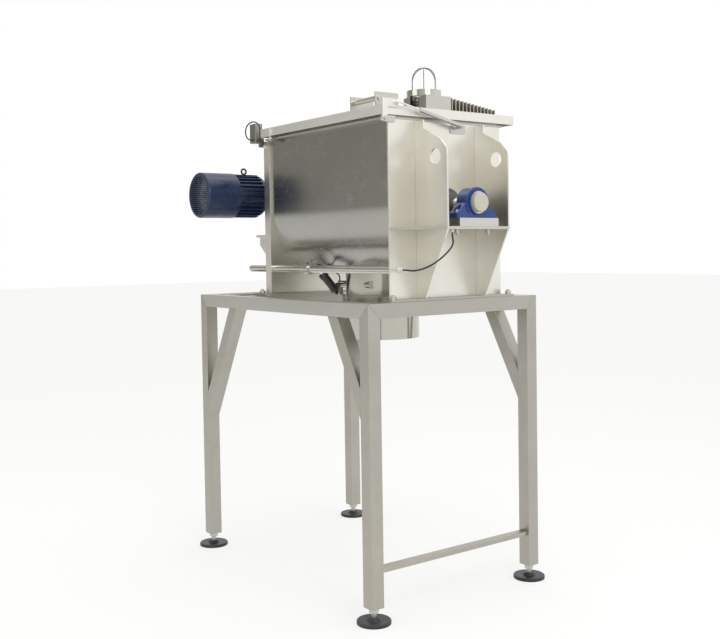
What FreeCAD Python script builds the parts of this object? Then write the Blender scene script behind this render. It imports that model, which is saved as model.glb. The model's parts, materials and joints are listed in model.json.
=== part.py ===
import FreeCAD, Part
import math
import os

from FreeCAD import Vector

os.makedirs("parts", exist_ok=True)

# Millimetres. Built with Z = 0 on top of the platform and X along the trough,
# then every solid is moved so that the origin is under the middle, on the floor.

# ---- platform ----
platform_height = 1280.0
platform_length = 1420.0
platform_width = 940.0
frame_tube = 60.0
frame_wall = 3.0
leg_gap = 62.0
foot_radius = 70.0
stem_radius = 12.0
brace_lean = 0.55

# ---- trough ----
shaft_height = 400.0
trough_inner = 296.0
trough_sheet = 4.0
trough_x0 = -280.0
trough_x1 = 640.0
plate_half = 310.0
trough_rise = 342.0
plate_top = shaft_height + trough_rise
bearing_plate = 10.0
motor_plate = 8.0
motor_flange = 42.0
base_plate = 10.0
wing_y = 167.0
wing_sheet = 8.0
wing_reach = 848.0
block_centre = 63.5
spacer_height = 33.5
spacer_top = shaft_height - block_centre
shelf_z = spacer_top - spacer_height
shelf_sheet = 12.0
lift_hole = 31.0
lift_hole_rise = 186.0
lift_hole_inset = 71.0
tie_radius = 17.0
tie_inset = 22.5
tie_y = plate_half - tie_inset
tie_z = 130.0
tie_bar_drop = 1060.0

# ---- drive ----
journal = 27.5
running_gap = 0.05
seat_gap = 0.3
bearing_inset = 39.0
bearing_x = wing_reach - bearing_inset
block_half = 30.0
cap_length = 18.0
worm_offset = 90.0
gear_centre = 103.0
gear_x = -520.0
worm_z = shaft_height + worm_offset
gear_foot = shaft_height - gear_centre
motor_end = -567.0

# ---- agitator ----
ribbon_turns = 1.25
ribbon_length = 880.0
ribbon_sheet = 8.0
outer_ribbon = (249.0, 290.0)
inner_ribbon = (122.0, 168.0)
arm_radius = 11.0
core_radius = 38.0

# ---- discharge ----
drop_x = 180.0
spout_radius = 160.0
sleeve_radius = 176.0
sleeve_length = 196.0
door_hole = 110.0
door_radius = 103.0
door_flange = 116.0
trough_floor = shaft_height - trough_inner - trough_sheet
door_axis = (-130.0, trough_floor - 44.0)
spout_ring = trough_floor - 94.0
crank_length = 40.0
cylinder_x = 13.0
rod_pin = (-262.0, 160.0)

# ---- lid ----
lid_x0, lid_x1 = -299.0, 661.0
lid_y0, lid_y1 = -345.0, 395.0
rim_top = plate_top + 8.0
lid_z0 = rim_top + 7.0
lid_z1 = lid_z0 + 39.0
lid_sheet = 3.0
seal_height = 9.0
hinge_axis = (-338.0, plate_top - 1.0)
spring_pin = (60.0, plate_top - 14.0)
spring_end = (-281.0, lid_z1 + 11.0)
vent_seat = lid_z1 + 70.0
spring_x = 684.0
spring_tube_length = 222.0

shaft = Vector(0, 0, shaft_height)
trough_outer = trough_inner + trough_sheet


def box(x0, x1, y0, y1, z0, z1):
    return Part.makeBox(x1 - x0, y1 - y0, z1 - z0, Vector(x0, y0, z0))


def rod(a, b, radius):
    a, b = Vector(*a), Vector(*b)
    return Part.makeCylinder(radius, (b - a).Length, a, b - a)


def pipe(a, b, radius, wall):
    return rod(a, b, radius).cut(rod(a, b, radius - wall))


def along_x(x0, x1, y, z, radius):
    return rod((x0, y, z), (x1, y, z), radius)


def along_y(y0, y1, x, z, radius):
    return rod((x, y0, z), (x, y1, z), radius)


def along_z(z0, z1, x, y, radius):
    return rod((x, y, z0), (x, y, z1), radius)


def slab(points, direction):
    wire = Part.makePolygon([Vector(*p) for p in points + points[:1]])
    return Part.Face(wire).extrude(Vector(*direction))


def square_tube(x0, x1, y0, y1, z0, z1, axis, wall=frame_wall):
    inner = [x0 + wall, x1 - wall, y0 + wall, y1 - wall, z0 + wall, z1 - wall]
    inner[2 * axis] -= wall + 1
    inner[2 * axis + 1] += wall + 1
    return box(x0, x1, y0, y1, z0, z1).cut(box(*inner))


def keep(shape, corner, normal):
    normal = Vector(*normal)
    size = 4 * platform_length
    waste = Part.makeBox(size, size, size, Vector(-size / 2, -size / 2, -size))
    waste.Placement = FreeCAD.Placement(
        Vector(*corner), FreeCAD.Rotation(Vector(0, 0, 1), normal)
    )
    return shape.cut(waste)


def round_edges(shape, radius, test):
    edges = [e for e in shape.Edges if test(e)]
    return shape.makeFillet(radius, edges) if edges else shape


def upright(edge):
    box_ = edge.BoundBox
    return box_.ZLength > 1 and box_.XLength < 0.01 and box_.YLength < 0.01


def hexagon(centre, axis, flats, height):
    x, y, z = centre
    ring = []
    for i in range(6):
        a = math.radians(60 * i)
        u, v = flats / math.sqrt(3) * math.cos(a), flats / math.sqrt(3) * math.sin(a)
        ring.append((x + u, y + v, z) if axis == 2 else (x, y + u, z + v))
    return slab(ring, (0, 0, height) if axis == 2 else (height, 0, 0))


nodes = {}


def add(name, *solids):
    nodes[name] = list(solids)


# ================= platform =================
hx, hy = platform_length / 2, platform_width / 2
s = frame_tube
leg_foot = leg_gap - platform_height

leg_names = {(1, -1): "near", (-1, -1): "left", (1, 1): "right", (-1, 1): "back"}
for (sx, sy), label in leg_names.items():
    x = sorted((sx * hx, sx * (hx - s)))
    y = sorted((sy * hy, sy * (hy - s)))
    leg = square_tube(x[0], x[1], y[0], y[1], leg_foot, 0, 2)
    corner = (sx * hx, sy * hy, 0)
    leg = keep(leg, corner, (sx, 0, -1))
    leg = keep(leg, corner, (0, sy, -1))
    cap = box(x[0] + frame_wall, x[1] - frame_wall, y[0] + frame_wall, y[1] - frame_wall,
              leg_foot, leg_foot + 8)
    leg = leg.fuse(cap).removeSplitter()
    middle = (sum(x) / 2, sum(y) / 2)
    leg = leg.cut(along_z(leg_foot - 1, leg_foot + 9, middle[0], middle[1], stem_radius + 0.5))
    add("platform_leg_" + label, leg)

for sy, label in ((-1, "front"), (1, "rear")):
    y = sorted((sy * hy, sy * (hy - s)))
    beam = square_tube(-hx, hx, y[0], y[1], -s, 0, 0)
    for sx in (-1, 1):
        corner = (sx * hx, sy * hy, 0)
        beam = keep(beam, corner, (-sx, 0, 1))
        beam = keep(beam, corner, (-sx, sy, 0))
    add("platform_beam_" + label, beam)

for sx, label in ((-1, "motor_end"), (1, "bearing_end")):
    x = sorted((sx * hx, sx * (hx - s)))
    beam = square_tube(x[0], x[1], -hy, hy, -s, 0, 1)
    for sy in (-1, 1):
        corner = (sx * hx, sy * hy, 0)
        beam = keep(beam, corner, (0, -sy, 1))
        beam = keep(beam, corner, (sx, -sy, 0))
    add("platform_beam_" + label, beam)

cross = [square_tube(x, x + s, s - hy, hy - s, -s, 0, 1) for x in (-372.0, -600.0)]
add("platform_cross_beams", *cross)


def knee(sx, sy, reach):
    inner = sx * (hx - s)
    top = sx * (hx - s - reach)
    across = sx * -(s / math.cos(math.atan(brace_lean)))
    drop = reach / brace_lean
    extra = abs(across) / brace_lean
    y = sorted((sy * hy, sy * (hy - s)))
    outline = [(top, -s), (inner, -s - drop), (inner, -s - drop - extra), (top + across, -s)]
    body = slab([(px, y[0], pz) for px, pz in outline], (0, s, 0))
    lean = Vector(top - inner, 0, drop).normalize()
    side = Vector(lean.z, 0, -lean.x)
    mid = Vector((2 * top + across) / 2, sum(y) / 2, -s)
    half = s / 2 - frame_wall
    core = [mid + side * a + Vector(0, b, 0) + lean * 60
            for a, b in ((-half, -half), (half, -half), (half, half), (-half, half))]
    core = slab([tuple(p) for p in core], tuple(lean * -2 * platform_width))
    return body.cut(core)


leg_x = hx - s / 2
tie_bar = square_tube(leg_x - 20, leg_x + 20, s - hy, hy - s, -tie_bar_drop - 20, -tie_bar_drop, 1, 2.0)
add("platform_braces", knee(1, -1, 153), knee(-1, -1, 235), knee(1, 1, 153), knee(-1, 1, 153), tie_bar)

pads, stems, nuts = [], [], []
for sx in (-1, 1):
    for sy in (-1, 1):
        x, y = sx * (hx - s / 2), sy * (hy - s / 2)
        floor = -platform_height
        pad = along_z(floor, floor + 14, x, y, foot_radius)
        pad = round_edges(pad, 4, lambda e: e.BoundBox.ZLength < 0.01 and e.BoundBox.ZMin > floor + 13)
        hub = Part.makeCone(30, 20, 10, Vector(x, y, floor + 14))
        pad = pad.fuse(hub).cut(along_z(floor + 8, floor + 25, x, y, stem_radius + 0.05))
        pads.append(pad.removeSplitter())
        stems.append(along_z(floor + 8, leg_foot + 40, x, y, stem_radius))
        nut = hexagon((x, y, leg_foot - 18), 2, 36, 18)
        nuts.append(nut.cut(along_z(leg_foot - 19, leg_foot + 1, x, y, stem_radius + 0.05)))
add("foot_pads", *pads)
add("foot_stems", *stems, *nuts)

# ================= trough =================


def u_shape(radius, x0, x1, top):
    body = along_x(x0, x1, 0, shaft_height, radius)
    return body.fuse(box(x0, x1, -radius, radius, shaft_height, top)).removeSplitter()


shell = u_shape(trough_outer, trough_x0, trough_x1, plate_top)
shell = shell.cut(along_x(trough_x0 - 1, trough_x1 + 1, 0, shaft_height, trough_inner))
shell = shell.cut(box(trough_x0 - 1, trough_x1 + 1, -trough_inner, trough_inner,
                      shaft_height, plate_top + 1))
shell = shell.cut(along_z(0, trough_floor + 150, drop_x, 0, door_hole))
add("trough_shell", shell)

plate = box(trough_x1, trough_x1 + bearing_plate, -plate_half, plate_half, base_plate, plate_top)
plate = plate.cut(along_x(trough_x1 - 1, trough_x1 + 20, 0, shaft_height, journal + 4))
add("end_plate_bearing", plate)

x1 = trough_x0 - motor_plate
plate = box(x1, trough_x0, -plate_half, plate_half, base_plate, plate_top)
for sy in (-1, 1):
    y = sorted((sy * plate_half, sy * (plate_half - 4)))
    plate = plate.fuse(box(x1 - motor_flange, x1, y[0], y[1], base_plate, plate_top))
    plate = plate.cut(along_x(x1 - 1, trough_x0 + 1, sy * tie_y, tie_z, tie_radius))
plate = plate.cut(along_x(x1 - 1, trough_x0 + 1, 0, shaft_height, journal + 4))
add("end_plate_motor", plate.removeSplitter())


def wing(sy):
    x0 = trough_x1 + bearing_plate
    y = sy * wing_y - wing_sheet / 2
    lift_z = shaft_height + lift_hole_rise
    outline = [(x0, base_plate), (x0 + 56, base_plate), (wing_reach, shelf_z - 9),
               (wing_reach, lift_z + 26), (wing_reach - 42, lift_z + 69), (x0 + 52, lift_z + 118),
               (x0 + 52, plate_top - 2), (x0, plate_top - 2)]
    body = slab([(px, y, pz) for px, pz in outline], (0, wing_sheet, 0))

    def outer(edge):
        mid = edge.BoundBox.Center
        return edge.BoundBox.YLength > 7 and mid.x > wing_reach - 48 and mid.z > lift_z + 14

    body = round_edges(body, 32, outer)
    body = body.cut(along_y(y - 1, y + wing_sheet + 1, wing_reach - lift_hole_inset, lift_z, lift_hole))
    return body


shelf_outline = [(trough_x1 + bearing_plate, -plate_half), (wing_reach, -wing_y - 6),
                 (wing_reach, wing_y + 6), (trough_x1 + bearing_plate, plate_half)]
shelf = slab([(px, py, shelf_z - shelf_sheet) for px, py in shelf_outline], (0, 0, shelf_sheet))
wings = {"near": wing(-1), "far": wing(1)}
shelf = shelf.cut(wings["near"]).cut(wings["far"])
bolt_ys = (-85.5, 85.5)
for y in bolt_ys:
    shelf = shelf.cut(along_z(shelf_z - 100, shelf_z + 100, bearing_x, y, 8.5))
add("bearing_wings", wings["near"], wings["far"])
add("bearing_shelf", *shelf.Solids)


def foot_plate(x0, x1):
    plate = box(x0, x1, -345, 345, 0, base_plate)
    plate = round_edges(plate, 14, upright)
    return plate


near_foot = foot_plate(632, 702)
far_foot = foot_plate(-392, -262)
anchor_points = []
for plate_, xs in ((0, (683.0,)), (1, (-345.0,))):
    for x in xs:
        for y in (-322.0, 322.0):
            anchor_points.append((x, y))
near_foot = near_foot.cut(along_z(-1, 20, 683, -322, 8.5)).cut(along_z(-1, 20, 683, 322, 8.5))
far_foot = far_foot.cut(along_z(-1, 20, -345, -322, 8.5)).cut(along_z(-1, 20, -345, 322, 8.5))
add("base_plates", near_foot, far_foot)

ties = [pipe((-500, sy * tie_y, tie_z), (trough_x1, sy * tie_y, tie_z), tie_radius, 2.5)
        for sy in (-1, 1)]
add("tie_tubes", *ties)

rim = box(trough_x0 - motor_plate, trough_x1 + bearing_plate, -326, 326, plate_top, rim_top)
lip_top = lid_z1 - lid_sheet - seal_height - seat_gap


def rim_frame(inside, outside, z0, z1):
    ring = box(trough_x0 - outside, trough_x1 + outside, -trough_inner - outside,
               trough_inner + outside, z0, z1)
    return ring.cut(box(trough_x0 - inside, trough_x1 + inside, -trough_inner - inside,
                        trough_inner + inside, z0 - 1, z1 + 1))


rim = rim.fuse(rim_frame(0, 4, rim_top, lip_top))
rim = rim.cut(box(trough_x0, trough_x1, -trough_inner, trough_inner, plate_top - 1, rim_top + 1))
add("trough_rim", rim.removeSplitter())
add("rim_seal", rim_frame(-3, 7, lip_top, lip_top + seal_height))

# ================= motor end bracket =================
x1 = trough_x0 - motor_plate
bracket = []
for sy in (-1, 1):
    y = sy * wing_y - wing_sheet / 2
    lift_z = shaft_height + lift_hole_rise
    upper = [(x1, gear_foot), (-436, gear_foot), (-436, lift_z + 14), (-400, lift_z + 64),
             (-340, lift_z + 118),
             (-340, plate_top - 2), (x1, plate_top - 2)]
    upper = slab([(px, y, pz) for px, pz in upper], (0, wing_sheet, 0))
    upper = upper.cut(along_y(y - 1, y + wing_sheet + 1, x1 - 90, lift_z, lift_hole))
    lower = [(x1, base_plate), (-350, base_plate), (-618, gear_foot - shelf_sheet - 40),
             (-618, gear_foot - shelf_sheet), (x1, gear_foot - shelf_sheet)]
    lower = slab([(px, y, pz) for px, pz in lower], (0, wing_sheet, 0))
    bracket += [upper, lower]
gear_shelf = box(-622, x1, -190, 190, gear_foot - shelf_sheet, gear_foot)
for x in (-565.0, -475.0):
    for y in (-78.0, 78.0):
        gear_shelf = gear_shelf.cut(along_z(gear_foot - 90, gear_foot + 20, x, y, 6.5))
add("gearbox_bracket", gear_shelf, *bracket)

# ================= drive =================
case = box(gear_x - 60, gear_x + 60, -104, 96, gear_foot + 14, worm_z + 62)
case = round_edges(case, 16, lambda e: e.BoundBox.XLength > 100)
case = case.fuse(along_x(gear_x - 65, gear_x + 65, 0, shaft_height, 76))
case = case.fuse(along_y(-111, 100, gear_x, worm_z, 58))
case = case.fuse(box(gear_x - 62, gear_x + 62, -100, 100, gear_foot, gear_foot + 15))
case = case.cut(along_x(gear_x - 70, gear_x + 70, 0, shaft_height, journal + running_gap))
for x in (-565.0, -475.0):
    for y in (-78.0, 78.0):
        case = case.cut(along_z(gear_foot - 90, gear_foot + 16, x, y, 5.5))
case = case.cut(along_y(-112, 20, gear_x, worm_z, 14 + running_gap))
add("gearbox_housing", case.removeSplitter())

adaptor = along_y(-222, -111, gear_x, worm_z, 74).fuse(along_y(-236, -222, gear_x, worm_z, 82))
adaptor = adaptor.fuse(along_y(-123, -111, gear_x, worm_z, 80))
adaptor = adaptor.cut(along_y(-237, -110, gear_x, worm_z, 14 + running_gap))
add("gearbox_adaptor", adaptor.removeSplitter())

motor = along_y(-402, -236, gear_x, worm_z, 97).fuse(along_y(-402, -390, gear_x, worm_z, 110))
fins = 28
for i in range(fins):
    a = 2 * math.pi * i / fins
    fin = box(-1.7, 1.7, -396, -252, 94, 107)
    fin.rotate(Vector(0, 0, 0), Vector(0, 1, 0), math.degrees(a))
    fin.translate(Vector(gear_x, 0, worm_z))
    motor = motor.fuse(fin)
motor = motor.cut(along_y(-390, -250, gear_x, worm_z, 62))
motor = motor.cut(along_y(-403, -235, gear_x, worm_z, 14 + running_gap))
eye = rod((gear_x, -315, worm_z + 95), (gear_x, -315, worm_z + 112), 9)
ring = Part.makeTorus(13, 4.5, Vector(gear_x, -315, worm_z + 122), Vector(1, 0, 0))
motor = motor.fuse(eye).fuse(ring)
add("motor_body", motor.removeSplitter())

cover = along_y(motor_end, -402, gear_x, worm_z, 110)
cover = round_edges(cover, 10, lambda e: e.BoundBox.YLength < 0.01 and e.BoundBox.YMin < motor_end + 1)
cover = cover.cut(along_y(motor_end + 3, -401, gear_x, worm_z, 107.5))
bars = 9
for i in range(-bars, bars + 1):
    z = worm_z + i * 9.6
    reach = math.sqrt(92.0 ** 2 - (i * 9.6) ** 2)
    for x0, x1 in ((-reach, -4), (4, reach)):
        cover = cover.cut(box(gear_x + x0, gear_x + x1, motor_end - 1, motor_end + 4, z - 2.6, z + 2.6))
add("motor_fan_cover", cover)

terminal = box(gear_x - 168, gear_x - 108, -385, -275, worm_z - 52, worm_z + 52)
terminal = round_edges(terminal, 6, lambda e: e.BoundBox.XLength > 50)
neck = box(gear_x - 109, gear_x - 90, -360, -300, worm_z - 30, worm_z + 30).cut(nodes["motor_body"][0])
terminal = terminal.fuse(max(neck.Solids, key=lambda item: item.Volume))
add("motor_terminal_box", terminal.removeSplitter())

spin = along_y(-548, 15, gear_x, worm_z, 14).fuse(along_y(-385, -255, gear_x, worm_z, 61.5))
spin = spin.fuse(along_y(-540, -532, gear_x, worm_z, 88)).fuse(along_y(-541, -505, gear_x, worm_z, 24))
for i in range(7):
    blade = box(22, 88, -534, -506, -1.5, 1.5)
    blade.rotate(Vector(0, 0, 0), Vector(0, 1, 0), 360.0 * i / 7)
    blade.translate(Vector(gear_x, 0, worm_z))
    spin = spin.fuse(blade)
add("motor_rotor", spin.removeSplitter())

# ================= bearing =================
block_x0, block_x1 = bearing_x - block_half, bearing_x + block_half
spacer = box(block_x0 - 10, block_x1 + 10, -107, 107, shelf_z, spacer_top)
body = box(block_x0, block_x1, -109.5, 109.5, spacer_top, spacer_top + 20)
body = round_edges(body, 12, upright)
dome = along_x(block_x0, block_x1, 0, shaft_height, 62)
cheek_x = block_x0 + 4
cheek = slab([(cheek_x, -104, spacer_top + 20), (cheek_x, -50, shaft_height + 10),
              (cheek_x, 50, shaft_height + 10), (cheek_x, 104, spacer_top + 20)], (2 * block_half - 8, 0, 0))
body = body.fuse(cheek).fuse(dome)
body = body.fuse(along_x(block_x0 - 14, block_x1 + 8, 0, shaft_height, 50))
for y in bolt_ys:
    spacer = spacer.cut(along_z(shelf_z - 3, spacer_top + 3, bearing_x, y, 8.5))
    body = body.cut(along_z(spacer_top - 6, spacer_top + 20.1, bearing_x, y, 8.5))
    body = body.cut(along_z(spacer_top + 20, shaft_height + 70, bearing_x, y, 17))
body = body.cut(along_x(block_x0 - 20, block_x1 + 20, 0, shaft_height, 46))
add("bearing_spacer", spacer)
add("bearing_housing", body.removeSplitter())
cap_x = block_x1 + 7
insert = along_x(block_x0 - 11, cap_x, 0, shaft_height, 46)
insert = insert.cut(along_x(block_x0 - 19, cap_x + 4, 0, shaft_height, journal + running_gap))
add("bearing_insert", insert)
cap_end = cap_x + cap_length
cap = along_x(cap_x, cap_end, 0, shaft_height, 40)
cap = round_edges(cap, 5, lambda e: e.BoundBox.XLength < 0.01 and e.BoundBox.XMin > cap_end - 4)
add("bearing_cap", cap)

bolts = []
for y in bolt_ys:
    one = along_z(shelf_z - shelf_sheet - 22, spacer_top + 34, bearing_x, y, 8)
    one = one.fuse(hexagon((bearing_x, y, spacer_top + 20), 2, 24, 11))
    one = one.fuse(hexagon((bearing_x, y, shelf_z - shelf_sheet - 15), 2, 24, 15))
    bolts.append(one)
for x, y in anchor_points:
    one = along_z(0.5, base_plate + 20, x, y, 8)
    one = one.fuse(hexagon((x, y, base_plate), 2, 24, 13))
    bolts.append(one)
for x in (-565.0, -475.0):
    for y in (-78.0, 78.0):
        one = along_z(gear_foot - shelf_sheet - 8, gear_foot + 12, x, y, 5.5)
        bolts.append(one.fuse(hexagon((x, y, gear_foot - shelf_sheet - 8), 2, 16, 8)))
add("fixing_bolts", *[b.removeSplitter() for b in bolts])

seals = []
for x0, d in ((trough_x1 + bearing_plate, 1), (trough_x0 - motor_plate, -1)):
    a, b, c = x0, x0 + d * 12, x0 + d * 46
    body = along_x(a, b, 0, shaft_height, 68).fuse(along_x(a, c, 0, shaft_height, 48))
    seals.append(body.cut(along_x(a - 60, a + 60, 0, shaft_height, journal + running_gap)).removeSplitter())
add("shaft_seals", *seals)

# ================= agitator =================
middle = (trough_x0 + trough_x1) / 2
start = middle - ribbon_length / 2
axle = along_x(gear_x - 68, cap_x - 1, 0, shaft_height, journal)
axle = axle.fuse(along_x(trough_x0 + 4, trough_x1 - 4, 0, shaft_height, core_radius))
stations = [start + ribbon_sheet / 2 + (ribbon_length - ribbon_sheet) * i / 5 for i in range(6)]
arms = []
for i, x in enumerate(stations):
    for turn in (0, 180):
        a = math.radians(90 * i + turn)
        u, v = math.cos(a), math.sin(a)
        arms.append(rod((x, u * (core_radius - 6), shaft_height + v * (core_radius - 6)),
                        (x, u * 284, shaft_height + v * 284), arm_radius))
for arm in arms:
    axle = axle.cut(arm)
add("agitator_shaft", axle.removeSplitter())
add("agitator_arms", *arms)


def ribbon(radii, hand, turn):
    travel = ribbon_length - ribbon_sheet
    edges = []
    for radius in radii:
        helix = Part.makeHelix(travel / ribbon_turns, travel, radius, 0, hand < 0)
        helix.rotate(Vector(0, 0, 0), Vector(0, 1, 0), 90)
        helix.rotate(Vector(0, 0, 0), Vector(1, 0, 0), turn)
        helix.translate(Vector(start, 0, shaft_height))
        edges.append(helix)
    faces = [Part.makeRuledSurface(a, b) for a, b in zip(edges[0].Edges, edges[1].Edges)]
    solids = [f.extrude(Vector(ribbon_sheet, 0, 0)) for f in faces]
    body = solids[0]
    for other in solids[1:]:
        body = body.fuse(other)
    for arm in arms:
        body = body.cut(arm)
    return [piece for piece in body.Solids if piece.Volume > 1000]


add("outer_ribbons", *ribbon(outer_ribbon, 1, 90), *ribbon(outer_ribbon, 1, 270))
add("inner_ribbons", *ribbon(inner_ribbon, -1, 90), *ribbon(inner_ribbon, -1, 270))

# ================= discharge =================
trough_cut = u_shape(trough_outer, trough_x0, trough_x1, plate_top - 42)
spout = pipe((drop_x, 0, spout_ring), (drop_x, 0, trough_floor + 150), spout_radius, 4).cut(trough_cut)
spout = min(spout.Solids, key=lambda item: item.CenterOfMass.z)
flange = pipe((drop_x, 0, spout_ring), (drop_x, 0, spout_ring + 8), sleeve_radius + 2,
              sleeve_radius + 6 - spout_radius)
spout = spout.fuse(flange)
dy, dz = door_axis
crank_x0, crank_x1 = cylinder_x + 22.5, cylinder_x + 32.5
left_boss = along_x(crank_x1 + 1.5, drop_x - 66, dy, dz, 17)
right_boss = along_x(drop_x + 66, drop_x + 104, dy, dz, 17)
bore = along_x(crank_x1, drop_x + 96, dy, dz, 10 + running_gap)
spout = spout.cut(left_boss).cut(right_boss)
add("discharge_spout", spout.removeSplitter(), left_boss.cut(bore), right_boss.cut(bore))

sleeve = pipe((drop_x, 0, spout_ring - sleeve_length), (drop_x, 0, spout_ring - 8), sleeve_radius, 3)
flange = pipe((drop_x, 0, spout_ring - 8), (drop_x, 0, spout_ring), sleeve_radius + 2,
              sleeve_radius + 5 - spout_radius)
sleeve = sleeve.fuse(flange)
add("discharge_sleeve", sleeve.removeSplitter())


def bowl(r0, r1, radius):
    ring = along_x(drop_x - 200, drop_x + 200, 0, shaft_height, r1)
    ring = ring.cut(along_x(drop_x - 201, drop_x + 201, 0, shaft_height, r0))
    return ring.common(along_z(trough_floor - 100, shaft_height - 200, drop_x, 0, radius))


door_lap = trough_outer + 3.4
door_back = door_lap + 4.0
door = bowl(trough_inner, door_lap, door_radius).fuse(bowl(door_lap, door_back, door_flange))
hub = along_x(drop_x - 46, drop_x + 46, dy, dz, 15)
ribs = []
for x in (drop_x - 40, drop_x + 32):
    outline = [(x, dy - 12, dz + 8), (x, dy - 2, dz - 17), (x, 40, dz + 14), (x, 78, dz + 32), (x, 78, dz + 74),
               (x, dy + 40, dz + 74)]
    rib = slab(outline, (8, 0, 0))
    rib = rib.cut(along_x(drop_x - 60, drop_x + 60, 0, shaft_height, door_back))
    ribs.append(min(rib.Solids, key=lambda item: item.CenterOfMass.z))
frame = hub.fuse(ribs[0]).fuse(ribs[1]).cut(along_x(drop_x - 60, drop_x + 60, dy, dz, 10))
door_seal = bowl(trough_outer + seat_gap, door_lap, door_flange)
door_seal = door_seal.cut(along_z(trough_floor - 100, shaft_height - 200, drop_x, 0, door_radius))
add("valve_door", door.removeSplitter(), frame.removeSplitter(), door_seal)

pin = (dy, dz - crank_length)
lever = along_x(crank_x0, crank_x1, dy, dz, 17).fuse(along_x(crank_x0, crank_x1, pin[0], pin[1], 12))
lever = lever.fuse(box(crank_x0, crank_x1, dy - 11, dy + 11, pin[1], dz))
lever = lever.fuse(along_x(crank_x0, drop_x + 92, dy, dz, 10))
add("valve_crank", lever.removeSplitter())

reach = Vector(0, rod_pin[0] - pin[0], rod_pin[1] - pin[1])
unit = Vector(reach).normalize()
base = Vector(cylinder_x, pin[0], pin[1])


def on_cylinder(distance):
    return base + unit * distance


barrel = rod(on_cylinder(26), on_cylinder(112), 19)
barrel = barrel.fuse(rod(on_cylinder(18), on_cylinder(34), 21)).fuse(rod(on_cylinder(100), on_cylinder(118), 21))
barrel = barrel.fuse(rod(on_cylinder(8), on_cylinder(20), 9))
barrel = barrel.fuse(along_x(cylinder_x - 6, cylinder_x + 6, pin[0], pin[1], 11))
barrel = barrel.cut(rod(on_cylinder(30), on_cylinder(108), 16))
barrel = barrel.cut(rod(on_cylinder(100), on_cylinder(119), 6 + running_gap))
barrel = barrel.fuse(along_x(cylinder_x - 11, crank_x0 - seat_gap, pin[0], pin[1], 5))
sideways = Vector(0, unit.z, -unit.y)
hose_start = []
for distance in (30, 109):
    tip = on_cylinder(distance) + sideways * 29
    barrel = barrel.fuse(rod(tip - sideways * 11, tip, 5))
    hose_start.append(tip + sideways * seat_gap)
add("valve_cylinder", barrel.removeSplitter())

piston = rod(on_cylinder(88), on_cylinder(reach.Length - 6), 6).fuse(rod(on_cylinder(86), on_cylinder(98), 15.95))
piston = piston.fuse(rod(on_cylinder(reach.Length - 20), on_cylinder(reach.Length - 8), 8.5))
piston = piston.fuse(along_x(cylinder_x - 6, cylinder_x + 6, rod_pin[0], rod_pin[1], 10))
piston = piston.cut(along_x(cylinder_x - 8, cylinder_x + 8, rod_pin[0], rod_pin[1], 5 + running_gap))
add("valve_rod", piston.removeSplitter())

clamp = along_x(cylinder_x - 18, cylinder_x + 18, -tie_y, tie_z, 25)
clamp = clamp.cut(along_x(cylinder_x - 20, cylinder_x + 20, -tie_y, tie_z, tie_radius))
for x0 in (cylinder_x - 18, cylinder_x + 10):
    ear = slab([(x0, -tie_y + 10, tie_z - 12), (x0, -tie_y - 16, tie_z + 18), (x0, rod_pin[0] - 9, rod_pin[1] + 8),
                (x0, rod_pin[0] + 9, rod_pin[1] - 8)], (8, 0, 0))
    ear = ear.fuse(along_x(x0, x0 + 8, rod_pin[0], rod_pin[1], 12))
    clamp = clamp.fuse(ear.cut(along_x(x0 - 1, x0 + 9, -tie_y, tie_z, 24)))
clamp = clamp.fuse(along_x(cylinder_x - 22, cylinder_x + 22, rod_pin[0], rod_pin[1], 5))
add("valve_bracket", clamp.removeSplitter())

# ================= lid =================
lid = box(lid_x0, lid_x1, lid_y0, lid_y1, lid_z0, lid_z1)
lid = round_edges(lid, 12, lambda e: upright(e) and e.BoundBox.YMin > 0)
core = box(lid_x0 + lid_sheet, lid_x1 - lid_sheet, lid_y0 + lid_sheet, lid_y1 - lid_sheet,
           lid_z0 - 1, lid_z1 - lid_sheet)
core = round_edges(core, 9, lambda e: upright(e) and e.BoundBox.YMin > 0)
lid = lid.cut(core)
vent = (520.0, -10.0)
lid = lid.cut(along_z(lid_z0 - 60, lid_z1 + 100, vent[0], vent[1], 60))
lid = lid.cut(box(450, 590, 92, 336, lid_z0 - 60, lid_z1 + 100))
add("lid_shell", lid)

hz = hinge_axis[1]
arm_top = spring_end[1] + 13
near_arm = slab([(lid_x1, -352, hz), (lid_x1, -352, arm_top), (lid_x1, spring_end[0] + 10, arm_top),
                 (lid_x1, spring_end[0] + 10, arm_top - 33), (lid_x1, -326, arm_top - 33), (lid_x1, -326, hz)],
                (10, 0, 0))
near_arm = near_arm.fuse(along_x(lid_x1, lid_x1 + 10, hinge_axis[0], hz, 14))
near_arm = near_arm.cut(along_x(lid_x1 - 1, lid_x1 + 11, hinge_axis[0], hz, 6 + running_gap))
near_arm = near_arm.fuse(along_x(lid_x1 + 10, spring_x - 5.3, spring_end[0], spring_end[1], 8))
tab_x = -214.0
far_arm = box(tab_x, tab_x + 10, -352, lid_y0, hz, lid_z1 - 6).fuse(box(tab_x, tab_x + 10, -352, -327, hz, lid_z0 - 1))
far_arm = far_arm.fuse(along_x(tab_x, tab_x + 10, hinge_axis[0], hz, 11))
far_arm = far_arm.cut(along_x(tab_x - 1, tab_x + 11, hinge_axis[0], hz, 6 + running_gap))
add("lid_hinge_arms", near_arm.removeSplitter(), far_arm.removeSplitter())

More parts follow.
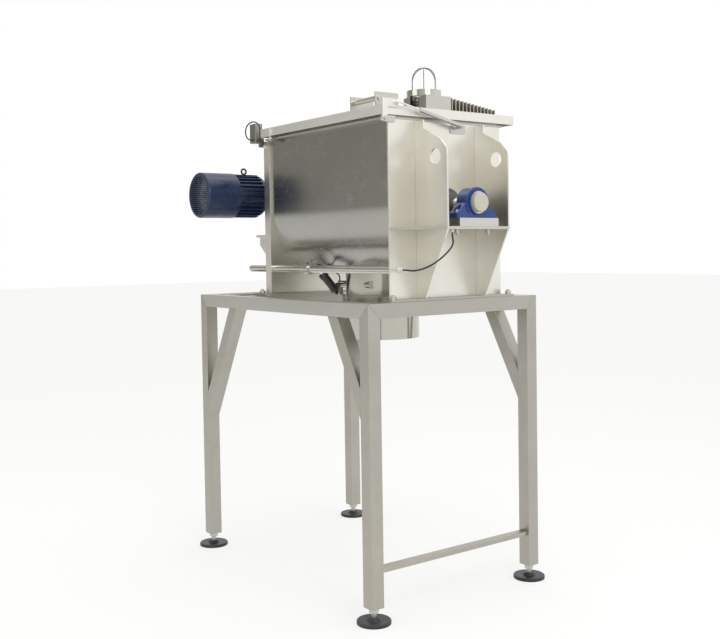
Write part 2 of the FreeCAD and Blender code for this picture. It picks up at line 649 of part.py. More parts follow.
lug_x = trough_x1 + bearing_plate
near_lug = slab([(lug_x, -280, hz - 13), (lug_x, hinge_axis[0], hz - 13), (lug_x, hinge_axis[0], hz + 13),
                 (lug_x, -280, hz + 13)], (9.5, 0, 0))
near_lug = near_lug.fuse(along_x(lug_x, lug_x + 9.5, hinge_axis[0], hz, 13))
near_lug = near_lug.fuse(along_x(lug_x, lid_x1 + 14, hinge_axis[0], hz, 6))
near_lug = near_lug.fuse(hexagon((lid_x1 + 11, hinge_axis[0], hz), 0, 19, 8))
far_lug = slab([(tab_x - 11.5, -trough_outer, hz - 13), (tab_x - 11.5, hinge_axis[0], hz - 13),
                (tab_x - 11.5, hinge_axis[0], hz + 13), (tab_x - 11.5, -327, hz + 13),
                (tab_x - 11.5, -327, plate_top), (tab_x - 11.5, -trough_outer, plate_top)], (10, 0, 0))
far_lug = far_lug.fuse(along_x(tab_x - 11.5, tab_x - 1.5, hinge_axis[0], hz, 11.5))
far_lug = far_lug.fuse(along_x(tab_x - 11.5, tab_x + 13, hinge_axis[0], hz, 6))
far_lug = far_lug.fuse(hexagon((tab_x + 11, hinge_axis[0], hz), 0, 19, 8))
near_lug, far_lug = near_lug.removeSplitter(), far_lug.removeSplitter()

spring = Vector(0, spring_end[0] - spring_pin[0], spring_end[1] - spring_pin[1])
aim = Vector(spring).normalize()
foot = Vector(spring_x, spring_pin[0], spring_pin[1])


def on_spring(distance):
    return foot + aim * distance


tube = rod(on_spring(18), on_spring(18 + spring_tube_length), 9)
tube = tube.fuse(rod(on_spring(4), on_spring(20), 5)).fuse(along_x(spring_x - 5, spring_x + 5, *spring_pin, 9))
tube = tube.cut(along_x(spring_x - 6, spring_x + 6, *spring_pin, 4 + running_gap))
tube = tube.cut(rod(on_spring(24), on_spring(18 + spring_tube_length - 12), 7))
tube = tube.cut(rod(on_spring(200), on_spring(280), 4 + running_gap))
add("gas_spring_tube", tube.removeSplitter())

length = spring.Length
stem = rod(on_spring(118), on_spring(length - 4), 4).fuse(rod(on_spring(116), on_spring(126), 6.9))
stem = stem.fuse(rod(on_spring(length - 26), on_spring(length - 8), 4.9))
stem = stem.fuse(along_x(spring_x - 5, spring_x + 5, *spring_end, 9))
stem = stem.fuse(along_x(spring_x + 5, spring_x + 9, *spring_end, 6))
add("gas_spring_rod", stem.removeSplitter())

bracket = box(lug_x, lug_x + 6, 20, 104, spring_pin[1] - 28, spring_pin[1] + 10)
bracket = round_edges(bracket, 8, lambda e: e.BoundBox.XLength > 5)
bracket = bracket.fuse(along_x(lug_x, spring_x - 7, *spring_pin, 8)).fuse(along_x(lug_x, spring_x + 9, *spring_pin, 4))
add("hinge_lugs", near_lug, far_lug, bracket.removeSplitter())

vent_bore = along_z(lid_z0 - 60, vent_seat + 34, vent[0], vent[1], 60)
riser = box(vent[0] - 75, vent[0] + 75, -62, 78, lid_z1, vent_seat).cut(vent_bore)
collar = along_z(vent_seat, vent_seat + 26, vent[0], vent[1], 75).cut(vent_bore)
add("vent_collar", riser.fuse(collar).removeSplitter())

cage_foot, cage_top, cage_half, cage_wire = vent_seat + 9, vent_seat + 126, 57.0, 2.0
cage_ring = pipe((vent[0], vent[1], cage_foot - 6), (vent[0], vent[1], cage_foot), 59.9, 5)


def hoop(turn):
    across = Vector(math.cos(math.radians(turn)), math.sin(math.radians(turn)), 0)
    shoulder = Vector(vent[0], vent[1], cage_top - cage_half)
    arch = Part.makeTorus(cage_half, cage_wire, shoulder, Vector(-across.y, across.x, 0))
    arch = keep(arch, shoulder, (0, 0, 1))
    for side in (across * cage_half, across * -cage_half):
        leg = rod(shoulder + side - Vector(0, 0, shoulder.z - cage_foot), shoulder + side, cage_wire)
        arch = arch.fuse(leg)
    return arch.removeSplitter()


cage = [cage_ring]
for turn in (20, 80, 140):
    wire = hoop(turn)
    for other in cage[1:]:
        wire = wire.cut(other)
    cage += wire.Solids
add("vent_cage", *cage)

grate_rods = [along_y(84, 84 + 21 * 12 + 5, x, lid_z1 + 14, 4) for x in (480.0, 520.0, 560.0)]
fins = []
for i in range(13):
    y = 84 + 21 * i
    top = vent_seat - 0.138 * (y - 55)
    fin = slab([(446, y, lid_z1), (594, y, lid_z1), (594, y, top), (446, y, top)], (0, 5, 0))
    for bar in grate_rods:
        fin = fin.cut(bar)
    fins.append(fin)
add("feed_grate", *fins, *grate_rods)

plates = []
for x in (425.0, 595.0):
    plate = box(x, x + 5, -335, -215, lid_z1, lid_z1 + 60)
    plate = plate.cut(along_x(x - 1, x + 6, -312, lid_z1 + 36, 12))
    plates.append(plate)
add("lid_bracket", *plates, along_x(420, 605, -312, lid_z1 + 36, 12))

switch = box(-400, -344, -346, -306, hz - 3, hz + 89)
switch = round_edges(switch, 4, upright)
arm = box(-344, -330, -330, -306, hz - 25, hz + 19)
add("limit_switch", switch.fuse(arm).removeSplitter())

gland_y, gland_z = 48.0 - plate_half, tie_z - 1
sensor_x, sensor_y = bearing_x + 17, -128.0
hose_y, hose_zs = gland_y, (tie_z - 8, tie_z + 6)
gland = along_x(lug_x, lug_x + 6, gland_y, gland_z, 13).fuse(along_x(lug_x, lug_x + 22, gland_y, gland_z, 8))
under_shelf = shelf_z - shelf_sheet
sensor_gland = along_z(under_shelf - 12, under_shelf, sensor_x, sensor_y, 8)
gland_x = trough_x0 - 29
flange_gland = rod((gland_x, 6 - plate_half, plate_top - 34), (gland_x, -plate_half - 10, plate_top - 18), 6)
flange_gland = flange_gland.cut(box(gland_x - 21, gland_x + 29, -plate_half, 30 - plate_half, plate_top - 52,
                                    plate_top - 2))
bulkhead = 14.0
bulkheads = [along_x(trough_x0, trough_x0 + bulkhead, hose_y, z, 5.5) for z in hose_zs]
add("line_fittings", gland.removeSplitter(), sensor_gland, flange_gland, *bulkheads)


def cord(name, points, radius):
    points = [Vector(*p) for p in points]
    edges, last, bends = [], points[0], []
    for a, b, c in zip(points, points[1:], points[2:]):
        before, after = b - a, c - b
        half_turn = before.getAngle(after) / 2
        reach = 0.45 * min(before.Length, after.Length)
        before.normalize()
        after.normalize()
        bend = reach / math.tan(half_turn)
        inward = Vector(after - before).normalize() * bend * (1 / math.cos(half_turn) - 1)
        edges.append(Part.LineSegment(last, b - before * reach))
        edges.append(Part.Arc(b - before * reach, b + inward, b + after * reach))
        last = b + after * reach
        bends.append(round(bend))
    edges.append(Part.LineSegment(last, points[-1]))
    path = Part.Wire([edge.toShape() for edge in edges])
    ring = Part.Wire(Part.makeCircle(radius, points[0], points[1] - points[0]))
    tube = path.makePipeShell([ring], True, False)
    print(name, "bend radii", bends, "volume ratio", round(tube.Volume / (math.pi * radius ** 2 * path.Length), 4))
    add(name, tube)


cord("bearing_cable",
     [(lug_x + 22, gland_y, gland_z), (697, gland_y, gland_z), (730, -253, 125), (766, -238, 132),
      (801, -221, 147), (831, -201, 170), (850, -179, 196), (854, -158, 218), (846, -141, 236),
      (833, -130.5, 247), (sensor_x, sensor_y, 262.5), (sensor_x, sensor_y, under_shelf - 12)], 3.5)
cord("switch_cable",
     [(-372, -346, 752), (-372, -366, 752), (-370, -383, 768), (-366, -389, 792), (-357, -387, 815),
      (-341, -378, 831), (-324, -363, 836), (-312, -348, 825), (-308, -341, 803), (-308, -342, 780),
      (-309, -340, 757), (-309, -333, 737), (-309, -320, 724)], 3.0)
cord("air_hose_lower",
     [hose_start[0], (13, -115, 70.46), (9, -108, 88), (-2, -118, 107), (-22, -143, 119), (-46, -180, 125),
      (-76, -216, 124), (-112, -245, 122), (-152, -260, 123), (-194, -263, 121), (-232, hose_y, 122.5),
      (trough_x0 + bulkhead + seat_gap, hose_y, hose_zs[0])], 3.0)
cord("air_hose_upper",
     [hose_start[1], (13, -168, 129.1), (-0.6, -156.1, 136.8), (-37.6, -155.4, 136.3), (-49.9, -199.7, 151.3),
      (-58.7, -229.9, 148.7), (-90, -233, 139), (-126, -251, 137), (-164, -261, 136), (-202, -263, 137.5),
      (-236, hose_y, 136.5), (trough_x0 + bulkhead + seat_gap, hose_y, hose_zs[1])], 3.0)

# ================= placement and export =================
origin_x = (cap_end - (hx - s / 2 + foot_radius)) / 2
origin_y = (motor_end + (hy - s / 2 + foot_radius)) / 2
shift = Vector(-origin_x, -origin_y, platform_height)
for name, solids in nodes.items():
    group = Part.makeCompound(solids) if len(solids) > 1 else solids[0]
    group.translate(shift)
    if not group.isValid():
        print("invalid", name)
    group.exportStep("parts/" + name + ".step")
print(len(nodes), "nodes, shift", shift)
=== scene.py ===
import json
import math

import bmesh
import bpy
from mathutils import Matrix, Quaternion, Vector


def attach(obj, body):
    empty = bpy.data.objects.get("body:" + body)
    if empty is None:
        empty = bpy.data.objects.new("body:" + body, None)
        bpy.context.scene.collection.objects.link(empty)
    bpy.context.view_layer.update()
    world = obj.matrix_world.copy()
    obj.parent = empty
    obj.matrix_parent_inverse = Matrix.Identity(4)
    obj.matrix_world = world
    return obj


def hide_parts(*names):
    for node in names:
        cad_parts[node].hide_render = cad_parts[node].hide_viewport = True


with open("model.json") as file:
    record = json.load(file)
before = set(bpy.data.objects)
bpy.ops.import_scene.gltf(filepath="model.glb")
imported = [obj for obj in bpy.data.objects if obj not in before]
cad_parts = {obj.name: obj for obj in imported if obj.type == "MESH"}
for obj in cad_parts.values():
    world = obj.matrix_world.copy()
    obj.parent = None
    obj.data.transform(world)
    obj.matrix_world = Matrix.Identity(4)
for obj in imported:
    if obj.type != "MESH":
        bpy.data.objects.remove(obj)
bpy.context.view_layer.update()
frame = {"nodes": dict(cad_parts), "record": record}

scene = bpy.context.scene
scene.view_settings.view_transform = "Standard"

# the camera stands at eye height off the bearing end, on the hinge side
camera = {
    "eye": (3.74, -2.7365, 1.495),
    "aim": (0.0, 0.0, 1.325),
    "lens": 49.2,
    "shiftY": -0.047,
    "roll": -0.88,
}
studio = {
    "floorSize": 40,
    "floor": (0.90, 0.90, 0.89),
    "floorRough": 0.9,
    "floorShine": 0.1,
    "floorGlow": 0.62,
    # the studio's tone by compass turn: 0 is -X, a quarter is -Y, a half is +X and three quarters is +Y
    "tones": [(0.0, 0.50), (0.10, 0.36), (0.24, 0.50), (0.45, 0.86), (0.62, 1.10), (0.80, 1.04), (0.90, 1.02),
              (0.955, 1.0), (1.0, 0.50)],
    "tint": (1.0, 0.985, 0.94),
    "overhead": (1.0, 1.0, 0.99),
    "overheadFrom": 0.35,
    "overheadFull": 0.85,
    "strength": 1.0,
}
lamps = {
    "keyLight": {"place": (3.6, -0.8, 3.6), "aim": (0.2, 0, 1.5), "size": (2.0, 2.0), "power": 48},
    "fillLight": {"place": (-0.6, -4.2, 2.6), "aim": (0, 0, 1.2), "size": (2.6, 1.6), "power": 16},
    "topLight": {"place": (0, 0.6, 5.0), "aim": (0, 0, 1.5), "size": (3.0, 3.0), "power": 34},
}


def combine(tree, operation, a, b):
    node = tree.nodes.new("ShaderNodeMath")
    node.operation = operation
    for i, item in enumerate((a, b)):
        if isinstance(item, (int, float)):
            node.inputs[i].default_value = item
        else:
            tree.links.new(item, node.inputs[i])
    return node.outputs[0]


def makeCamera():
    data = bpy.data.cameras.new("mainCamera")
    data.lens = camera["lens"]
    data.sensor_width = 36.0
    data.shift_y = camera["shiftY"]
    lens = bpy.data.objects.new("mainCamera", data)
    scene.collection.objects.link(lens)
    eye, aim = Vector(camera["eye"]), Vector(camera["aim"])
    lens.location = eye
    lens.rotation_mode = "QUATERNION"
    roll = Quaternion((0, 0, 1), math.radians(camera["roll"]))
    lens.rotation_quaternion = (aim - eye).to_track_quat("-Z", "Y") @ roll
    data.clip_start, data.clip_end = 0.05, 60
    scene.camera = lens


def makeWorld():
    world = bpy.data.worlds.new("studio")
    scene.world = world
    world.use_nodes = True
    tree = world.node_tree
    tree.nodes.clear()
    out = tree.nodes.new("ShaderNodeOutputWorld")
    lit = tree.nodes.new("ShaderNodeBackground")
    place = tree.nodes.new("ShaderNodeTexCoord")
    split = tree.nodes.new("ShaderNodeSeparateXYZ")
    tree.links.new(place.outputs["Generated"], split.inputs[0])
    compass = tree.nodes.new("ShaderNodeMath")
    compass.operation = "ARCTAN2"
    tree.links.new(split.outputs["Y"], compass.inputs[0])
    tree.links.new(split.outputs["X"], compass.inputs[1])
    turn = tree.nodes.new("ShaderNodeMapRange")
    turn.inputs["From Min"].default_value = -math.pi
    turn.inputs["From Max"].default_value = math.pi
    tree.links.new(compass.outputs[0], turn.inputs["Value"])
    ramp = tree.nodes.new("ShaderNodeValToRGB")
    ramp.color_ramp.interpolation = "EASE"
    elements = ramp.color_ramp.elements
    for position, tone in studio["tones"][len(elements):]:
        elements.new(position)
    for element, (position, tone) in zip(elements, studio["tones"]):
        element.position = position
        element.color = (*[tone * c if tone < 1.0 else tone for c in studio["tint"]], 1)
    tree.links.new(turn.outputs["Result"], ramp.inputs["Fac"])
    overhead = tree.nodes.new("ShaderNodeMapRange")
    overhead.inputs["From Min"].default_value = studio["overheadFrom"]
    overhead.inputs["From Max"].default_value = studio["overheadFull"]
    tree.links.new(split.outputs["Z"], overhead.inputs["Value"])
    sky = tree.nodes.new("ShaderNodeMix")
    sky.data_type = "RGBA"
    sky.inputs[7].default_value = (*studio["overhead"], 1)
    tree.links.new(overhead.outputs["Result"], sky.inputs[0])
    tree.links.new(ramp.outputs["Color"], sky.inputs[6])
    tree.links.new(sky.outputs[2], lit.inputs["Color"])
    lit.inputs["Strength"].default_value = studio["strength"]
    tree.links.new(lit.outputs[0], out.inputs["Surface"])


def softLight(name, place, aim, size, power):
    data = bpy.data.lights.new(name, "AREA")
    data.shape = "RECTANGLE"
    data.size, data.size_y = size
    data.energy = power
    lamp = bpy.data.objects.new(name, data)
    scene.collection.objects.link(lamp)
    lamp.location = place
    lamp.rotation_mode = "QUATERNION"
    lamp.rotation_quaternion = (Vector(aim) - Vector(place)).to_track_quat("-Z", "Y")


def makeFloor():
    mesh = bmesh.new()
    bmesh.ops.create_grid(mesh, x_segments=1, y_segments=1, size=studio["floorSize"])
    data = bpy.data.meshes.new("floor")
    mesh.to_mesh(data)
    mesh.free()
    floor = bpy.data.objects.new("floor", data)
    scene.collection.objects.link(floor)
    paint = bpy.data.materials.new("floorPaint")
    paint.use_nodes = True
    tree = paint.node_tree
    shader = tree.nodes["Principled BSDF"]
    shader.inputs["Base Color"].default_value = (*studio["floor"], 1)
    shader.inputs["Roughness"].default_value = studio["floorRough"]
    shader.inputs["Specular IOR Level"].default_value = studio["floorShine"]
    # the floor shows pale to the eye and in metal, and still takes the shadow
    glow = tree.nodes.new("ShaderNodeEmission")
    path = tree.nodes.new("ShaderNodeLightPath")
    seen = path.outputs["Is Camera Ray"]
    for ray in ("Is Glossy Ray", "Is Transmission Ray"):
        seen = combine(tree, "MAXIMUM", seen, path.outputs[ray])
    mix = tree.nodes.new("ShaderNodeMixShader")
    tree.links.new(combine(tree, "MULTIPLY", seen, studio["floorGlow"]), mix.inputs[0])
    tree.links.new(shader.outputs[0], mix.inputs[1])
    tree.links.new(glow.outputs[0], mix.inputs[2])
    tree.links.new(mix.outputs[0], tree.nodes["Material Output"].inputs["Surface"])
    data.materials.append(paint)


makeCamera()
makeWorld()
for name, values in lamps.items():
    softLight(name, **values)
makeFloor()
print("studio ready")


def newGroup(name, inputs, outputs):
    group = bpy.data.node_groups.new(name, "ShaderNodeTree")
    for label, kind, value in inputs:
        socket = group.interface.new_socket(name=label, in_out="INPUT", socket_type=kind)
        if value is not None:
            socket.default_value = value
    for label, kind in outputs:
        group.interface.new_socket(name=label, in_out="OUTPUT", socket_type=kind)
    start = group.nodes.new("NodeGroupInput")
    end = group.nodes.new("NodeGroupOutput")
    return group, start, end


def makeNoise(tree, vector, scale, detail=3.0, rough=0.55, warp=0.0):
    noise = tree.nodes.new("ShaderNodeTexNoise")
    noise.inputs["Scale"].default_value = scale
    noise.inputs["Detail"].default_value = detail
    noise.inputs["Roughness"].default_value = rough
    noise.inputs["Distortion"].default_value = warp
    tree.links.new(vector, noise.inputs["Vector"])
    return noise.outputs["Fac"]


def remap(tree, value, low, high, newLow, newHigh):
    node = tree.nodes.new("ShaderNodeMapRange")
    for label, number in (("From Min", low), ("From Max", high), ("To Min", newLow), ("To Max", newHigh)):
        node.inputs[label].default_value = number
    tree.links.new(value, node.inputs["Value"])
    return node.outputs["Result"]


def blendColour(tree, factor, a, b, mode="MIX"):
    node = tree.nodes.new("ShaderNodeMix")
    node.data_type = "RGBA"
    node.blend_type = mode
    for socket, item in ((0, factor), (6, a), (7, b)):
        if isinstance(item, (int, float)):
            node.inputs[socket].default_value = item
        elif isinstance(item, tuple):
            node.inputs[socket].default_value = (*item, 1) if len(item) == 3 else item
        else:
            tree.links.new(item, node.inputs[socket])
    return node.outputs[2]


def brushedGrain():
    # fine parallel scratches: the stretch vector is small along the brushing
    group, start, end = newGroup(
        "brushedGrain",
        [("Place", "NodeSocketVector", None), ("Stretch", "NodeSocketVector", None),
         ("Depth", "NodeSocketFloat", 1.0)],
        [("Tone", "NodeSocketFloat"), ("Gloss", "NodeSocketFloat"), ("Height", "NodeSocketFloat")],
    )
    stretched = group.nodes.new("ShaderNodeVectorMath")
    stretched.operation = "MULTIPLY"
    group.links.new(start.outputs["Place"], stretched.inputs[0])
    group.links.new(start.outputs["Stretch"], stretched.inputs[1])
    fine = makeNoise(group, stretched.outputs[0], 1.0, 2.0, 0.6)
    coarse = makeNoise(group, stretched.outputs[0], 0.41, 2.0, 0.5)
    fineShare = combine(group, "MULTIPLY", fine, 0.6)
    both = combine(group, "ADD", fineShare, combine(group, "MULTIPLY", coarse, 0.4))
    group.links.new(remap(group, both, 0.3, 0.7, -0.5, 0.5), end.inputs["Tone"])
    group.links.new(remap(group, coarse, 0.3, 0.7, -0.5, 0.5), end.inputs["Gloss"])
    group.links.new(combine(group, "MULTIPLY", both, start.outputs["Depth"]), end.inputs["Height"])
    return group


def shopWear():
    # handling marks, heat tint and dried water on worked sheet
    group, start, end = newGroup(
        "shopWear",
        [("Place", "NodeSocketVector", None), ("Amount", "NodeSocketFloat", 1.0),
         ("Size", "NodeSocketFloat", 3.0)],
        [("Stain", "NodeSocketFloat"), ("Warmth", "NodeSocketFloat"), ("Smear", "NodeSocketFloat")],
    )
    scaled = group.nodes.new("ShaderNodeVectorMath")
    scaled.operation = "SCALE"
    group.links.new(start.outputs["Place"], scaled.inputs[0])
    group.links.new(start.outputs["Size"], scaled.inputs["Scale"])
    cloud = makeNoise(group, scaled.outputs[0], 1.0, 5.0, 0.62, 0.8)
    spot = makeNoise(group, scaled.outputs[0], 4.7, 4.0, 0.7, 0.3)
    wide = makeNoise(group, scaled.outputs[0], 0.37, 2.0, 0.5)
    amount = start.outputs["Amount"]
    masks = (("Stain", cloud, 0.35, 0.75), ("Warmth", wide, 0.4, 0.7), ("Smear", spot, 0.55, 0.8))
    for label, noise, low, high in masks:
        mask = remap(group, noise, low, high, 0.0, 1.0)
        group.links.new(combine(group, "MULTIPLY", mask, amount), end.inputs[label])
    return group


def paintSkin():
    # thin orange peel with dust on top
    group, start, end = newGroup(
        "paintSkin",
        [("Place", "NodeSocketVector", None), ("Dust", "NodeSocketFloat", 0.3)],
        [("Dusting", "NodeSocketFloat"), ("Gloss", "NodeSocketFloat"), ("Height", "NodeSocketFloat")],
    )
    peel = makeNoise(group, start.outputs["Place"], 420.0, 2.0, 0.5)
    cloud = makeNoise(group, start.outputs["Place"], 9.0, 4.0, 0.6, 0.4)
    dust = combine(group, "MULTIPLY", remap(group, cloud, 0.45, 0.75, 0.0, 1.0), start.outputs["Dust"])
    group.links.new(dust, end.inputs["Dusting"])
    group.links.new(remap(group, cloud, 0.3, 0.7, -0.5, 0.5), end.inputs["Gloss"])
    group.links.new(peel, end.inputs["Height"])
    return group


groups = {"grain": brushedGrain(), "wear": shopWear(), "paint": paintSkin()}


def placeGroup(tree, name, place, **values):
    node = tree.nodes.new("ShaderNodeGroup")
    node.node_tree = groups[name]
    tree.links.new(place, node.inputs["Place"])
    for label, value in values.items():
        node.inputs[label].default_value = value
    return node


def newMaterial(name):
    material = bpy.data.materials.new(name)
    material.use_nodes = True
    tree = material.node_tree
    shader = tree.nodes["Principled BSDF"]
    place = tree.nodes.new("ShaderNodeTexCoord").outputs["Object"]
    return material, tree, shader, place


def bumpInto(tree, shader, height, strength, distance):
    bump = tree.nodes.new("ShaderNodeBump")
    bump.inputs["Strength"].default_value = strength
    bump.inputs["Distance"].default_value = distance
    tree.links.new(height, bump.inputs["Height"])
    tree.links.new(bump.outputs["Normal"], shader.inputs["Normal"])


steelLook = {
    "across": 2400.0,
    "lengthways": 7.0,
    "stainShare": 0.45,
    "stainDark": 0.72,
    "warmShare": 0.35,
    "warm": (0.50, 0.44, 0.30),
    "smearShare": 0.3,
    "smearLight": 1.25,
    "smearRough": 0.12,
    "bump": 0.06,
    "bumpDepth": 0.0002,
}
paintLook = {
    "dust": (0.32, 0.33, 0.34),
    "glossSpread": 0.12,
    "dustRough": 0.3,
    "bump": 0.1,
    "bumpDepth": 0.0002,
}


def steel(name, along, colour, rough, stain, grain, size, spread=0.10):
    material, tree, shader, place = newMaterial(name)
    stretch = [steelLook["across"]] * 3
    stretch["xyz".index(along)] = steelLook["lengthways"]
    brush = placeGroup(tree, "grain", place, Stretch=tuple(stretch), Depth=1.0)
    wear = placeGroup(tree, "wear", place, Amount=stain, Size=size)
    light = tuple(min(1.0, c * (1 + grain)) for c in colour)
    dark = tuple(c * (1 - grain) for c in colour)
    base = blendColour(tree, remap(tree, brush.outputs["Tone"], -0.5, 0.5, 0.0, 1.0), dark, light)
    stained = tuple(c * steelLook["stainDark"] for c in colour)
    smeared = tuple(min(1.0, c * steelLook["smearLight"]) for c in colour)
    marks = (("Stain", "stainShare", stained), ("Warmth", "warmShare", steelLook["warm"]),
             ("Smear", "smearShare", smeared))
    for mark, share, tone in marks:
        base = blendColour(tree, combine(tree, "MULTIPLY", wear.outputs[mark], steelLook[share]), base, tone)
    tree.links.new(base, shader.inputs["Base Color"])
    gloss = combine(tree, "ADD", combine(tree, "MULTIPLY", brush.outputs["Gloss"], spread), rough)
    smear = combine(tree, "MULTIPLY", wear.outputs["Smear"], steelLook["smearRough"])
    tree.links.new(combine(tree, "ADD", gloss, smear), shader.inputs["Roughness"])
    shader.inputs["Metallic"].default_value = 1.0
    bumpInto(tree, shader, brush.outputs["Height"], steelLook["bump"], steelLook["bumpDepth"])
    return material


def painted(name, colour, rough, dust):
    material, tree, shader, place = newMaterial(name)
    skin = placeGroup(tree, "paint", place, Dust=dust)
    dusted = blendColour(tree, skin.outputs["Dusting"], colour, paintLook["dust"])
    tree.links.new(dusted, shader.inputs["Base Color"])
    spread = combine(tree, "MULTIPLY", skin.outputs["Gloss"], paintLook["glossSpread"])
    dull = combine(tree, "MULTIPLY", skin.outputs["Dusting"], paintLook["dustRough"])
    gloss = combine(tree, "ADD", combine(tree, "ADD", spread, rough), dull)
    tree.links.new(gloss, shader.inputs["Roughness"])
    bumpInto(tree, shader, skin.outputs["Height"], paintLook["bump"], paintLook["bumpDepth"])
    return material


# along is the way of the brushing, and size sets how small the handling marks are
steels = {
    # the trough's long sides: a darker copy of the end plates' stainless steel, painted shade
    "sideSheetPaintedShade": dict(along="x", colour=(0.40, 0.395, 0.365), rough=0.25,
                      stain=0.8, grain=0.05, size=2.6, spread=0.05),
    # the end plates, bearing wings and gearbox bracket: a lighter copy of the same stainless steel, painted
    # light standing in for reflections
    "endSheet": dict(along="z", colour=(0.84, 0.825, 0.77), rough=0.33, stain=0.7, grain=0.05, size=4.0),
    "shelfSheet": dict(along="y", colour=(0.60, 0.59, 0.55), rough=0.32, stain=0.7, grain=0.05, size=4.0),
    # the lid and its hinge arms: a lighter copy of the same stainless steel, painted light standing in for
    # reflections
    "lidSheet": dict(along="x", colour=(0.84, 0.835, 0.79), rough=0.46, stain=0.5, grain=0.04, size=3.0),
    "tubeUp": dict(along="z", colour=(0.46, 0.45, 0.405), rough=0.40, stain=0.8, grain=0.06, size=5.4),
    "tubeLong": dict(along="x", colour=(0.56, 0.555, 0.52), rough=0.46, stain=0.6, grain=0.05, size=3.4),
    "tubeAcross": dict(along="y", colour=(0.46, 0.45, 0.405), rough=0.42, stain=0.7, grain=0.05, size=3.4),
    "drawnTube": dict(along="x", colour=(0.62, 0.61, 0.56), rough=0.22, stain=0.4, grain=0.03, size=5.0),
    "spoutSteel": dict(along="z", colour=(0.56, 0.55, 0.50), rough=0.13,
                       stain=0.5, grain=0.03, size=5.0, spread=0.04),
    "turnedSteel": dict(along="y", colour=(0.60, 0.59, 0.56), rough=0.26, stain=0.2, grain=0.05, size=8.0),
    "boltSteel": dict(along="z", colour=(0.56, 0.55, 0.52), rough=0.30, stain=0.3, grain=0.04, size=30.0),
    "wireSteel": dict(along="z", colour=(0.20, 0.195, 0.18), rough=0.34, stain=0.3, grain=0.05, size=30.0),
    "switchGrey": dict(along="z", colour=(0.26, 0.26, 0.25), rough=0.42, stain=0.6, grain=0.04, size=20.0),
    "chromeRod": dict(along="y", colour=(0.80, 0.80, 0.80), rough=0.09,
                      stain=0.1, grain=0.02, size=10.0, spread=0.03),
}
paints = {
    "motorBlue": dict(colour=(0.006, 0.019, 0.062), rough=0.30, dust=0.05),
    "blockBlue": dict(colour=(0.012, 0.042, 0.185), rough=0.30, dust=0.05),
    "capCream": dict(colour=(0.47, 0.45, 0.35), rough=0.45, dust=0.2),
    "padBlack": dict(colour=(0.014, 0.014, 0.014), rough=0.42, dust=0.12),
    "cylinderBlack": dict(colour=(0.02, 0.02, 0.02), rough=0.30, dust=0.15),
    "cableBlack": dict(colour=(0.012, 0.012, 0.012), rough=0.45, dust=0.1),
    "glandWhite": dict(colour=(0.72, 0.72, 0.69), rough=0.4, dust=0.1),
    "sealPale": dict(colour=(0.60, 0.60, 0.56), rough=0.55, dust=0.2),
    "castGrey": dict(colour=(0.10, 0.105, 0.105), rough=0.5, dust=0.3),
}
finish = {name: steel(name, **values) for name, values in steels.items()}
finish.update({name: painted(name, **values) for name, values in paints.items()})
print("finishes ready:", len(finish))

# the finish and the edge rounding, in metres, of each node
dressing = {
    "platform_leg_near": ("tubeUp", 0.004), "platform_leg_left": ("tubeUp", 0.004),
    "platform_leg_right": ("tubeUp", 0.004), "platform_leg_back": ("tubeUp", 0.004),
    "platform_beam_front": ("tubeLong", 0.004), "platform_beam_rear": ("tubeLong", 0.004),
    "platform_beam_motor_end": ("tubeAcross", 0.004), "platform_beam_bearing_end": ("tubeAcross", 0.004),
    "platform_cross_beams": ("tubeAcross", 0.004), "platform_braces": ("tubeUp", 0.003),
    "foot_pads": ("padBlack", 0.001), "foot_stems": ("boltSteel", 0.0006),
    "trough_shell": ("sideSheetPaintedShade", 0.0006), "end_plate_bearing": ("endSheet", 0.0010),
    "end_plate_motor": ("endSheet", 0.0012), "bearing_wings": ("endSheet", 0.0012),
    "bearing_shelf": ("shelfSheet", 0.0012), "base_plates": ("tubeAcross", 0.0012),
    "tie_tubes": ("drawnTube", 0.0006), "trough_rim": ("tubeLong", 0.0006),
    "rim_seal": ("sealPale", 0.0010), "gearbox_bracket": ("endSheet", 0.0012),
    "gearbox_housing": ("motorBlue", 0.0020), "gearbox_adaptor": ("motorBlue", 0.0015),
    "motor_body": ("motorBlue", 0.0008), "motor_fan_cover": ("motorBlue", 0.0006),
    "motor_terminal_box": ("motorBlue", 0.0015), "motor_rotor": ("turnedSteel", 0.0004),
    "bearing_spacer": ("turnedSteel", 0.0012), "bearing_housing": ("blockBlue", 0.0025),
    "bearing_insert": ("turnedSteel", 0.0006), "bearing_cap": ("capCream", 0.0010),
    "fixing_bolts": ("boltSteel", 0.0008), "shaft_seals": ("castGrey", 0.0020),
    "agitator_shaft": ("turnedSteel", 0.0006), "agitator_arms": ("turnedSteel", 0.0004),
    "outer_ribbons": ("turnedSteel", 0.0006), "inner_ribbons": ("turnedSteel", 0.0006),
    "discharge_spout": ("spoutSteel", 0.0006), "discharge_sleeve": ("spoutSteel", 0.0006),
    "valve_door": ("turnedSteel", 0.0008), "valve_crank": ("boltSteel", 0.0010),
    "valve_cylinder": ("cylinderBlack", 0.0008), "valve_rod": ("chromeRod", 0.0006),
    "valve_bracket": ("boltSteel", 0.0010), "hinge_lugs": ("boltSteel", 0.0010),
    "limit_switch": ("switchGrey", 0.0010), "line_fittings": ("glandWhite", 0.0006),
    "lid_shell": ("lidSheet", 0.0010), "lid_hinge_arms": ("lidSheet", 0.0010),
    "vent_collar": ("spoutSteel", 0.0006), "vent_cage": ("wireSteel", 0.0002),
    "feed_grate": ("tubeAcross", 0.0004), "lid_bracket": ("shelfSheet", 0.0008),
    "gas_spring_tube": ("turnedSteel", 0.0005), "gas_spring_rod": ("chromeRod", 0.0005),
}


def bodyOf(node):
    return next(name for name, members in frame["record"]["behaviour"]["bodies"].items() if node in members)


edges = {"merge": 2e-6, "flat": 0.4, "corner": 35, "smooth": 40, "segments": 2}


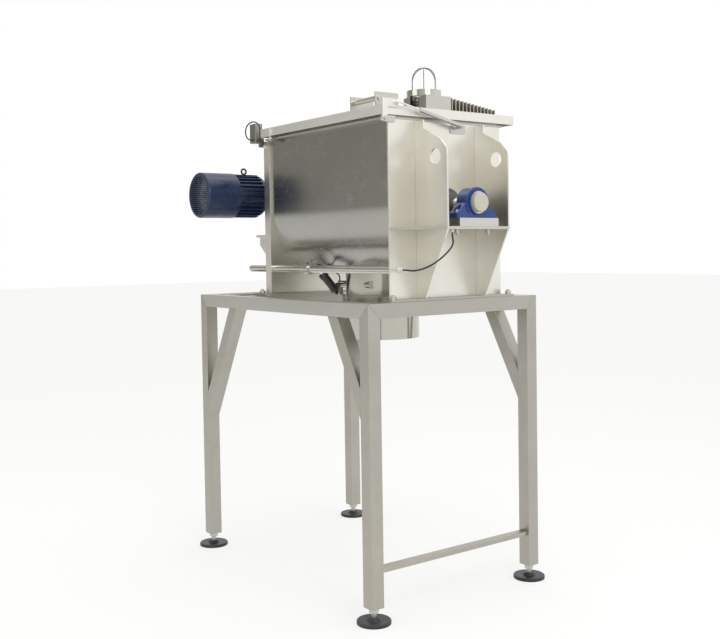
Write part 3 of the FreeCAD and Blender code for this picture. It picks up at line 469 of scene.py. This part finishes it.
def dress(node, material, bevel):
    mesh = bmesh.new()
    mesh.from_mesh(frame["nodes"][node].data)
    bmesh.ops.remove_doubles(mesh, verts=mesh.verts, dist=edges["merge"])
    flat, corner, smooth = (math.radians(edges[label]) for label in ("flat", "corner", "smooth"))
    bmesh.ops.dissolve_limit(mesh, angle_limit=flat, verts=mesh.verts, edges=mesh.edges)
    corners = [e for e in mesh.edges if len(e.link_faces) == 2 and e.calc_face_angle(0) > corner]
    bmesh.ops.bevel(mesh, geom=corners, offset=bevel, offset_type="OFFSET", segments=edges["segments"],
                    profile=0.5, affect="EDGES", clamp_overlap=True, material=-1)
    for face in mesh.faces:
        face.smooth = True
    for edge in mesh.edges:
        edge.smooth = len(edge.link_faces) == 2 and edge.calc_face_angle(0) < smooth
    first, *rest = node.split("_")
    name = first + "".join(word.title() for word in rest)
    data = bpy.data.meshes.new(name)
    mesh.to_mesh(data)
    mesh.free()
    data.materials.append(finish[material])
    piece = bpy.data.objects.new(name, data)
    scene.collection.objects.link(piece)
    piece.modifiers.new("evenNormals", "WEIGHTED_NORMAL").keep_sharp = True
    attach(piece, bodyOf(node))
    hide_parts(node)


for node, (material, bevel) in dressing.items():
    dress(node, material, bevel)
print("dressed nodes:", len(dressing))

# the cables and hoses, in millimetres from the top of the platform under the shaft
toRow = Vector((-0.057, 0.0285, 1.28))
cords = {
    "bearingCable": {"node": "bearing_cable", "radius": 0.0035, "points": [
        (672, -262, 129), (697, -262, 129), (730, -253, 125), (766, -238, 132), (801, -221, 147),
        (831, -201, 170), (850, -179, 196), (854, -158, 218), (846, -141, 236), (833, -130.5, 247),
        (826, -128, 262.5), (826, -128, 279)]},
    "switchCable": {"node": "switch_cable", "radius": 0.003, "points": [
        (-372, -346, 752), (-372, -366, 752), (-370, -383, 768), (-366, -389, 792), (-357, -387, 815),
        (-341, -378, 831), (-324, -363, 836), (-312, -348, 825), (-308, -341, 803), (-308, -342, 780),
        (-309, -340, 757), (-309, -333, 737), (-309, -320, 724)]},
    "airHoseLower": {"node": "air_hose_lower", "radius": 0.003, "points": [
        (13, -128.62, 57.94), (13, -115, 70.46), (9, -108, 88), (-2, -118, 107), (-22, -143, 119),
        (-46, -180, 125), (-76, -216, 124), (-112, -245, 122), (-152, -260, 123), (-194, -263, 121),
        (-232, -262, 122.5), (-265.7, -262, 122)]},
    "airHoseUpper": {"node": "air_hose_upper", "radius": 0.003, "points": [
        (13, -182.05, 116.15), (13, -168, 129.1), (-0.6, -156.1, 136.8), (-37.6, -155.4, 136.3),
        (-49.9, -199.7, 151.3), (-58.7, -229.9, 148.7), (-90, -233, 139), (-126, -251, 137),
        (-164, -261, 136), (-202, -263, 137.5), (-236, -262, 136.5), (-265.7, -262, 136)]},
}


def layCord(name, spec):
    curve = bpy.data.curves.new(name, "CURVE")
    curve.dimensions = "3D"
    curve.bevel_depth = spec["radius"]
    curve.bevel_resolution = 5
    curve.resolution_u = 12
    curve.use_fill_caps = True
    spline = curve.splines.new("NURBS")
    spline.points.add(len(spec["points"]) - 1)
    for point, place in zip(spline.points, spec["points"]):
        point.co = (*(Vector(place) / 1000 + toRow), 1)
    spline.order_u = 3
    spline.use_endpoint_u = True
    cord = bpy.data.objects.new(name, curve)
    scene.collection.objects.link(cord)
    curve.materials.append(finish["cableBlack"])
    line = curve.copy()
    line.bevel_depth = 0
    probe = bpy.data.objects.new(name + "Line", line)
    path = bpy.data.meshes.new_from_object(probe)
    bpy.data.objects.remove(probe)
    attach(cord, "machine")
    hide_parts(spec["node"])


for name, spec in cords.items():
    layCord(name, spec)
